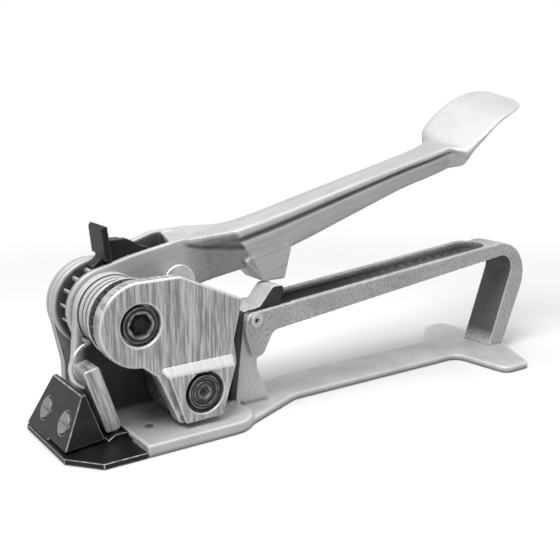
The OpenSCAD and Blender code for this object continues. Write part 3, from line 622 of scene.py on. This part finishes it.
def finished(rough, name):
    """The mesh that an object's modifiers give, and the end of the object."""
    mesh = bpy.data.meshes.new_from_object(
        rough.evaluated_get(bpy.context.evaluated_depsgraph_get()))
    bpy.data.objects.remove(rough)
    mesh.name = name
    return mesh


def eased(node, finish, radius_mm):
    """A copy of a CAD node with its edges rounded to radius_mm. The rounded strips carry material
    index 1 for a moment, and rub, rubbed wear and painted highlight, is 1 at the points that touch
    nothing else."""
    sharp_deg = 32
    rough = to_object(node + "_rough", merged(node))
    for _ in range(2):
        rough.data.materials.append(None)
    bevel = rough.modifiers.new("edges", "BEVEL")
    bevel.width = radius_mm * MM
    bevel.segments = 4
    bevel.limit_method = "ANGLE"
    bevel.angle_limit = math.radians(sharp_deg)
    bevel.use_clamp_overlap = False
    bevel.miter_outer = "MITER_ARC"
    bevel.material = 1
    mesh = finished(rough, node + "_eased")
    strip = all_of(mesh.polygons, "material_index", np.int32)
    sides = all_of(mesh.polygons, "loop_total", np.int32)
    corner = all_of(mesh.loops, "vertex_index", np.int32)
    rub = np.ones(len(mesh.vertices))
    rub[corner[np.repeat(strip == 0, sides)]] = 0
    mark_points(mesh, "rub", rub)
    mesh.polygons.foreach_set("material_index", np.zeros(len(mesh.polygons), np.int32))
    return flat_faced(settle(to_object(node + "_eased", mesh), node, finish))


# Lift, in voxels, at which the rubbed wear and painted highlight on ridges, and the painted shade
# in hollows, start and at which they are full
RUB_AND_HIGHLIGHT_LIFT = (0.03, 0.11)
SHADE_LIFT = (-0.025, -0.095)


def melted(name, node, finish, rough, voxel_mm, rounds, more_shade=None):
    """One skin round a mesh of overlapping shells: a voxel remesh, then rounds of smoothing. A
    point's lift above the mean of its neighbours gives rubbed wear and painted highlight on ridges
    and painted shade in hollows."""
    rough = to_object(name + "_rough", rough)
    skin = rough.modifiers.new("skin", "REMESH")
    skin.mode = "VOXEL"
    skin.voxel_size = voxel_mm * MM
    relax = rough.modifiers.new("relax", "SMOOTH")
    relax.factor = 0.5
    relax.iterations = rounds
    mesh = finished(rough, name)
    count = len(mesh.vertices)
    edge = all_of(mesh.edges, "vertices", np.int32, 2)
    place = all_of(mesh.vertices, "co", float, 3) / (voxel_mm * MM)
    normal = all_of(mesh.vertex_normals, "vector", float, 3)
    one, two = np.concatenate([edge, edge[:, ::-1]]).T
    links = np.bincount(one, minlength=count)

    def around(values):
        return np.stack([np.bincount(one, column[two], count) for column in values.T], -1)

    lift = ((place - around(place) / links[:, None]) * normal).sum(1)
    for _ in range(4):
        lift = 0.5 * lift + 0.5 * around(lift[:, None])[:, 0] / links
    # Ridges lighter: rubbed wear and painted highlight.
    mark_points(mesh, "rub", ramp(lift, *RUB_AND_HIGHLIGHT_LIFT))
    # Painted shade: hollows darkened where shade would fall in them.
    painted_shade = ramp(lift, *SHADE_LIFT)
    if more_shade:
        painted_shade = np.maximum(painted_shade, more_shade(place * voxel_mm))
    mark_points(mesh, "painted_shade", painted_shade)
    return settle(to_object(name, mesh), node, finish)


# The lever behind its fork. Rows give x, middle y, half width, top, bottom, flute, roll, flatness
# of the sides and lean; top and bottom are above the shaft.
LEVER_NECK = [
    (40, 27.4, 9.4, 34.2, 4, 0, 2.2, 1, 0), (48, 27.2, 9.6, 34.7, 5.8, 0, 2.3, 1, 1.5),
    (60, 26.6, 10.0, 35.4, 9.5, 0, 2.4, 0.9, 5), (80, 14.4, 12.6, 38.3, 16.1, 0.9, 0.6, 0.3, 16)]
LEVER_ARM = [
    (80, 14.4, 12.6, 38.3, 16.1, 0.9, 0.6, 0.3, 16), (90, 14, 12.5, 40.2, 18.6, 1, 0, 0.1, 14),
    (120, 14, 12.5, 48.1, 26.7, 1, 0, 0, 7), (160, 13.5, 12.5, 58.4, 39.9, 1, 0, 0, 5),
    (200, 13, 12.5, 68.6, 52.7, 1, 0, 0, 3), (224, 12.5, 12.8, 75, 58.8, 0.9, 0.3, 0, 0),
    (235, 12.1, 13.6, 78.6, 63, 0.5, 0.8, 0, 0), (238.5, 11.4, 18.4, 80.4, 66.5, 0.2, 3.8, 0, 0),
    (242, 10.8, 22, 82.4, 70, 0, 6, 0, 0), (250, 11.2, 23, 88.3, 79.3, 0, 6.5, 0, 0),
    (258, 10.7, 24, 94, 86.5, 0, 6, 0, 0), (268, 10.4, 24.2, 100.3, 94.3, 0, 5.3, 0, 0),
    (280, 10.5, 24, 105.2, 100.6, 0, 5, 0, 0), (289, 11.1, 21.4, 107.8, 103.8, 0, 4.6, 0, 0),
    (293.5, 11.2, 17.6, 109, 105.4, 0, 3.8, 0, 0), (296, 11, 12, 109.7, 106.6, 0, 2.6, 0, 0)]
# Half of the arm's section, from the bottom to the top: share of the half width and height
HALF_RING = [
    (0.55, 0), (0.80, 0.05), (0.90, 0.30), (0.95, 0.60), (1, 0.68), (1, 0.75), (1, 0.81),
    (0.98, 0.90), (0.85, 0.975), (0.45, 1)]
FLUTE_AT, FLUTE_WIDE, FLUTE_DEEP = 0.72, 0.065, 0.24
# Where the neck widens from the fork to the arm
NECK_X = (46, 79)


def lever_sections():
    """Straight lines between the rows of the neck, then a cubic through those of the arm."""
    neck = np.array(LEVER_NECK, float)
    at = np.linspace(neck[0, 0], neck[-1, 0], 40)
    straight = np.stack([np.interp(at, neck[:, 0], column) for column in neck.T], -1)
    return np.concatenate([straight, cubic(LEVER_ARM, 280)[1:]])


def lever_arm():
    """A ring of points carried along the sections. The section leans over its height, rolls
    across its width, and has a bell shaped flute below either top edge."""
    x, y, half, top, bottom, flute, roll, flat, lean = lever_sections().T[:, :, None]
    out, up = cubic(np.column_stack([np.arange(len(HALF_RING)), HALF_RING]), 64).T[1:]
    out = out + 0.92 * (1 - out) * flat
    out = out - FLUTE_DEEP * flute * np.exp(-((up - FLUTE_AT) / FLUTE_WIDE) ** 2)
    along = x + lean * (0.5 - up)
    rise = SHAFT[1] + bottom + (top - bottom) * up
    far = np.stack([along, y + half * out, rise + roll * out], -1)
    near = np.stack([along, y - half * out, rise - roll * out], -1)
    return tube(np.concatenate([far, near[:, ::-1]], 1))


def lever_shade(place):
    """Painted shade along the bottom of the flutes, inside the fork, on the inner half of its near
    rim, and on the near side where the neck widens, most under its top edge. Each is a bell or a
    ramp."""
    x, y, half, top, bottom, flute, roll, _, lean = lever_sections().T
    order = np.argsort(x)

    def row(values, at):
        return np.interp(at, x[order], values[order], left=0, right=0)

    at, rise = place[:, 0], place[:, 2] - SHAFT[1]
    for _ in range(4):
        out = (place[:, 1] - row(y, at)) / np.maximum(row(half, at), 1)
        low, high = row(bottom, at), row(top, at)
        up = (rise - out * row(roll, at) - low) / np.maximum(high - low, 1)
        at = place[:, 0] - row(lean, at) * (0.5 - up)
    flutes = row(flute, at) * (np.abs(out) > 0.6) * np.exp(
        -((up - FLUTE_AT) / (0.8 * FLUTE_WIDE)) ** 2)
    share = ramp(at, *NECK_X)
    near_side = (at < NECK_X[1]) * (out < -0.3)
    edge, edge_wide = 0.93, 0.03
    hollow = ramp(share, 0, 1 / 6) * near_side * np.exp(
        -((up - edge + 0.36 * share) / (edge_wide + 0.11 * share)) ** 2)
    shaded = 0.42 * ramp(share, 0, 1 / 3) * near_side * ramp(up, edge, edge - edge_wide)

    along, across = place[:, 0], place[:, 1]
    radius = np.hypot(along, rise)
    is_far = across > FORK_MIDDLE_Y
    end = np.where(is_far, FAR_END, NEAR_END)
    past = along - CORNER_X
    near_top = NEAR_CORNER + np.where(past < 0, *NEAR_RISES) * past
    cheek_top = np.where(is_far, FAR_CORNER + FAR_RISE * past, near_top)
    half_gap = (FAR_CHEEK_Y[0] - NEAR_CHEEK_Y[1]) / 2
    inside = ramp(np.abs(across - FORK_MIDDLE_Y), half_gap + 0.6, half_gap + 0.1)
    inside *= along < LEVER_NECK[0][0] + 0.6
    inside *= np.where(
        along < 0, ramp(radius, end, end - 2.5), ramp(rise, cheek_top, cheek_top - 1.5))
    rim_middle = sum(NEAR_CHEEK_Y) / 2
    rim = ramp(across, rim_middle + 0.1, rim_middle + 0.6) * (across < NEAR_CHEEK_Y[1] + 0.5)
    rim *= (along < 2) * (radius > NEAR_END - 2)
    return np.maximum.reduce([flutes, hollow, shaded, 0.95 * inside, 0.9 * rim])


def lever_shell():
    """Fork cheeks, arm and heel, as overlapping shells."""
    tops = [[(49, 3.5), (49, 33.4), (46, 33), (CORNER_X, NEAR_CORNER)],
            [(49, 3.5), (49, 36.9), (35, 36.5), (CORNER_X, FAR_CORNER)]]
    heel = fillets([
        (78, 85, 1), (91, 71.6, 1.5), (106, 71.6, 1.5), (111, 90, 1.5), (100, 96, 1)])
    ends = [arc(SHAFT, radius, 107, 309, 90) for radius in (NEAR_END, FAR_END)]
    cheeks = [plate(np.concatenate([end, SHAFT + top]), *y, 0.8, [hole(SHAFT, 10.05)])
              for y, end, top in zip((NEAR_CHEEK_Y, FAR_CHEEK_Y), ends, tops)]
    return joined(*cheeks, lever_arm(), plate(heel, *HEEL_Y, 0.6))


def rocker_shell():
    """Outer plate with its counterbore, boss with its top slope lit by a painted highlight, rear
    bridge, inner leg.
    """
    y0, y1 = ROCKER_Y
    outer = np.concatenate([
        arc(SHAFT, 22.5, 100, 266, 60),
        fillets([
            (0, 43.5, 0), (8, 37, 5), (20.5, 8.5, 3), (45.5, 9, 3), (56, 36, 3),
            (54.5, 49, 8), (60, 71.5, 2), (23, 88.5, 4), (-2, 88.45, 0)])])
    boss_low = [(22, 9.5, 1.6), (44.5, 10, 1.6)]
    boss = fillets(boss_low + [(53, 36.9, 1.8), (12.5, 37.4, 1.8)])
    boss_foot = fillets(boss_low + [(54.5, 42.4, 1.8), (9, 41.9, 1.8)])
    bridge = fillets([(43, 50, 1), (55, 50, 1), (59, 71, 1.5), (43, 78.5, 1)])
    notched = fillets([
        (43, 50, 1), (52, 50, 1), (52, 60.5, 0.5), (57.3, 60.5, 1), (59, 71, 1.5), (43, 78.5, 1)])
    leg = np.concatenate([
        fillets([
            (16, 53, 0), (16, 32, 6), (23.5, 10.5, 4), (44.5, 10.5, 4), (52, 34, 8),
            (54.5, 49, 6), (57, 66, 1), (20.5, 62.4, 0)]),
        arc(SHAFT, 20.2, -11.5, -37, 24)])
    sloping = plate(boss, BOSS_Y, y0 + 0.5, 0.9, [hole(FEED, 11.5)], back=boss_foot)
    # Painted highlight: the boss's top slope gets full rub so that it reads lit.
    lit_top_slope = sloping.points[:, 2] > 36.8
    return joined(
        plate(outer, y0, y1, 1.5, [hole(SHAFT, 11), hole(FEED, 6)]),
        plate(arc(SHAFT, 11.6, 0, 354, 60), y1 - 3, y1 - 0.1, 0.2, [hole(SHAFT, 9)]),
        sloping._replace(rub=np.maximum(sloping.rub, lit_top_slope)),
        plate(bridge, y1 - 1, -6.2, 0.7), plate(notched, -6.3, 2.3, 0.4),
        plate(bridge, 2.2, LEG_Y[1], 0.7),
        plate(leg, *LEG_Y, 0.5, [hole(FEED, 6), hole(IDLER, 3)]))


def gripper_shell():
    """The gripper: a plate cut to its slanting outline, with rounded edges."""
    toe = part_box("gripper")[0][2] / MM
    outline = fillets([
        (-15, toe, 1.2), (-7.2, toe, 3), (-7, 11, 2), (-17.5, 44, 1.6), (-26.2, 42, 1.6)])
    return plate(outline, *GRIPPER_Y, 1.0)


def pivot_screw():
    """Socket screw in the upper counterbore: head, chamfers, hexagon socket and shank."""
    # The last column paints bright rings at the chamfers and the socket's lip: rubbed wear and
    # painted highlight.
    return turned([
        (0.02, -18.9, 1, 0), (6.1, -19.0, 1, 0), (6.3, -22.4, 1, 0.3), (6.8, -22.8, 0.8, 1),
        (7.3, -22.8, 0.3, 0.9), (7.6, -22.7, 0, 0), (8.4, -22.7, 0, 0), (9.0, -22.6, 0, 0.5),
        (9.4, -22.3, 0, 1), (9.6, -21.8, 0, 0.1), (9.6, -17.8, 0, 0), (9.5, -17.75, 0, 0),
        (3.45, -17.75, 0, 0), (3.45, -2.7, 0, 0), (0.02, -2.6, 0, 0)], SHAFT)


def pawl_pin():
    """Pin between the fork's cheeks, a little into each of them."""
    y0, y1 = NEAR_CHEEK_Y[1] - 0.4, FAR_CHEEK_Y[0] + 0.4
    return turned([(0.02, y0, 0, 0), (3.5, y0, 0, 0), (3.5, y1, 0, 0), (0.02, y1, 0, 0)], PAWL_PIN)


def feed_bolt():
    """Lower bolt: a flat head with a ring groove and a small hexagon socket, and its axle."""
    # The last column paints bright rings at the chamfers and the socket's lip: rubbed wear and
    # painted highlight.
    return turned([
        (0.02, -24.7, 1, 0), (3.0, -24.7, 1, 0.4), (3.2, -26.7, 1, 0.6), (3.6, -27.0, 0.6, 1),
        (4.0, -27.0, 0.2, 0.3), (5.6, -27.0, 0, 0), (6.0, -26.8, 0, 1), (6.2, -26.0, 0, 0),
        (6.8, -26.0, 0, 0), (7.0, -26.8, 0, 0.4), (7.3, -27.0, 0, 0.8), (7.7, -27.0, 0, 0),
        (8.5, -26.95, 0, 0.2), (9.0, -26.8, 0, 1), (9.3, -26.5, 0, 0.6), (9.4, -26.0, 0, 0),
        (9.4, -24.82, 0, 0), (6.0, -24.8, 0, 0), (6.0, 10.7, 0, 0), (5.7, 10.9, 0, 0),
        (0.02, 10.9, 0, 0)], FEED)


def handle_shade(place):
    """Painted shade on the floor and walls of the groove along the handle's top, darkest at its
    front,
    and on the inner face of its post: ramps in the depth below the rails, in the distance from the
    groove's middle and in the distance from the line of that face."""
    x, y, z = place.T
    rail = RAIL_AT[1] + RAIL_RISE * (x - RAIL_AT[0])
    floor = FLOOR_AT[1] + FLOOR_RISE * (x - FLOOR_AT[0])
    deep = ramp((rail - z) / (rail - floor), 1 / 11, 6 / 11)
    across = ramp(np.abs(y - GROOVE_MIDDLE_Y), 11.9, 11.1)
    along = ramp(x, 97, 99) * ramp(x, 275, 269) * (z > floor - 1.2)
    groove = deep * across * along * (1 - 0.3 * ramp(x, 150, 210))

    (foot_x, foot_z), (top_x, top_z) = POST_FOOT, POST_TOP
    line = foot_x + (z - foot_z) * (top_x - foot_x) / (top_z - foot_z)
    post = ramp(x - line, 1.6, 0.8) * (x > foot_x - 2) * ramp(y, -11.7, -11.2)
    post *= ramp(z, foot_z + 2, foot_z + 10) * (z < top_z)
    return np.maximum(groove, 0.85 * post)


def hoop_spring():
    """Wire hoop: a straight end out of the wall, then an arc down behind the gripper's head, which
    drifts to the near side in its first third. Rounds of averaging ease the joint."""
    straight = np.linspace((-17.5, 14.9, 53.5), (-17.5, 1.0, 53.5), 40)
    share = np.linspace(0, 1, 150)
    ring = arc(HOOP, radius=11.5, start=92, end=245.9, count=150)
    bow = np.stack([ring[:, 0], -1.5 - 2.5 * ramp(share, 0, 1 / 3), ring[:, 1]], -1)
    path = np.concatenate([straight, bow])
    for _ in range(60):
        path[1:-1] = (path[:-2] + 2 * path[1:-1] + path[2:]) / 4
    return wire(path, radius=1.2)


# Plain CAD nodes that are hidden or nearly so
PLAIN = {
    "turned": ["nose_rivets", "foot_screws", "lever_shaft", "gripper_pin", "hold_pawl_pin",
               "idler_pin", "drive_sleeve", "drive_keys"],
    "drive_gear": ["drive_gear"],
    "gear": ["idler_gear", "feed_gear"],
    "hard": ["feed_wheel", "feed_anvil"],
    "wire": ["hold_pawl_spring", "rocker_spring", "drive_pawl_spring"],
    "bronze": ["sleeve_bush", "rocker_bush", "thrust_washer", "feed_bush"],
    "bolt": ["far_plate_screws"],
}
for finish, nodes in PLAIN.items():
    for node in nodes:
        dress(frame["nodes"][node].data, finish)

# Copies of CAD nodes with rounded edges: node, finish and radius in millimetres
for node, finish, radius in [
        ("far_plate", "cast", 0.7), ("gripper_block", "oxide", 0.7), ("nose_plate", "oxide", 0.5),
        ("gripper_anvil", "oxide", 0.4), ("hold_pawl", "oxide", 0.3),
        ("spring_cap", "turned", 0.9), ("gear_side_discs", "turned", 0.3),
        ("feed_shaft_washer", "bolt", 0.4), ("ratchet_wheel", "ratchet", 0.3),
        ("d_handle_pin", "pin", 0.35), ("block_screws", "screw", 0.25)]:
    eased(node, finish, radius)

# Castings and forgings, each in one soft skin
melted("frame_skin", "base_casting", "frame", merged("base_casting"), voxel_mm=0.85, rounds=2)
melted("drive_pawl_skin", "drive_pawl", "tab", merged("drive_pawl"), voxel_mm=0.35, rounds=3)
melted("d_handle_skin", "d_handle", "grained", merged("d_handle"), voxel_mm=0.7, rounds=3,
       more_shade=handle_shade)
melted("lever_skin", "lever", "forged", shell_mesh("lever_shells", lever_shell()), voxel_mm=0.75,
       rounds=3, more_shade=lever_shade)

# Pieces worked out whole: name, node, finish and shell
made("rocker_plates", "rocker", "ground", rocker_shell())
made("gripper_bar", "gripper", "bar", gripper_shell())
made("pivot_socket_screw", "pivot_screw", "bolt", pivot_screw())
made("pawl_hinge_pin", "drive_pawl_pin", "turned", pawl_pin())
made("feed_socket_bolt", "feed_shaft", "bolt", feed_bolt())
made("hoop_wire", "gripper_spring", "wire", hoop_spring())


# The middle of the tool, in metres
MIDDLE = (0.12, 0.0, 0.07)


def floor_finish(tone, bounce, near, far):
    """Pale matt floor, darker to the light that it throws back at the tool, that fades into the
    white surround between near and far metres."""
    f = Finish("pale_floor", roughness=0.9, specular_ior_level=0.1)
    f.feed("Base Color", f.mix(f.seen(), grey(bounce), grey(tone)))
    away = f.add("VectorMath", {"operation": "LENGTH"}, {0: f.place}, out="Value")
    clear = f.add("BsdfTransparent")
    solid = Field(f, f.shader.outputs[0])
    both = f.add("MixShader", None, {0: away.over(near, far), 1: solid, 2: clear})
    output = next(n for n in f.tree.nodes if n.type == "OUTPUT_MATERIAL")
    f.tree.links.new(both.socket, output.inputs["Surface"])
    return f.material


def studio_floor(radius):
    """A flat disc under the tool, as one ring of points."""
    ring = np.pad(arc((0, 0), radius, 0, 356, 90), ((0, 0), (0, 1)))
    mesh = bpy.data.meshes.new("studio_floor")
    mesh.from_pydata(ring.tolist(), [], [list(range(len(ring)))])
    floor = to_object("studio_floor", mesh)
    floor.location = (MIDDLE[0], 0, -0.0002)
    mesh.materials.append(floor_finish(tone=0.96, bounce=0.45, near=0.24, far=0.62))


def studio_world(diffuse_level):
    """White to the camera, mirrors and glass, and a softer level for diffuse light."""
    world = bpy.data.worlds.new("studio")
    SCENE.world = world
    world.use_nodes = True
    nodes = Nodes(world.node_tree)
    backdrop = world.node_tree.nodes["Background"].inputs
    nodes.put(backdrop["Color"], grey(1.0))
    nodes.put(backdrop["Strength"], diffuse_level + (1 - diffuse_level) * nodes.seen())


def soft_lamp(name, place, size, power):
    """A rectangular lamp, in metres and watts, that faces the middle of the tool."""
    data = bpy.data.lights.new(name, "AREA")
    data.shape = "RECTANGLE"
    data.size, data.size_y = size
    data.energy = power
    lamp = to_object(name, data)
    lamp.location = place
    lamp.rotation_euler = (Vector(MIDDLE) - Vector(place)).to_track_quat("-Z", "Y").to_euler()


studio_floor(radius=1.3)
studio_world(diffuse_level=0.28)
soft_lamp("key", place=(-0.35, -0.25, 1.0), size=(0.5, 0.5), power=8.0)
soft_lamp("top", place=(0.32, 0.08, 1.1), size=(0.9, 0.6), power=5.3)

# The camera that the picture was drawn from: its place in millimetres, turn, fall and lens
CAMERA_MM = (-178.73, -403.30, 186.0)
TURN_DEG, FALL_DEG = 34.7, 13.1
FOCAL_PX, FRAME_PX, SENSOR_MM = 860.0, 560.0, 36.0
lens = bpy.data.cameras.new("picture_view")
lens.sensor_width = SENSOR_MM
lens.lens = SENSOR_MM * FOCAL_PX / FRAME_PX
lens.clip_start = 0.01
camera = to_object("picture_view", lens)
camera.location = [c * MM for c in CAMERA_MM]
camera.rotation_euler = (math.radians(90 - FALL_DEG), 0, math.radians(-TURN_DEG))
SCENE.camera = camera
SCENE.view_settings.view_transform = "Standard"
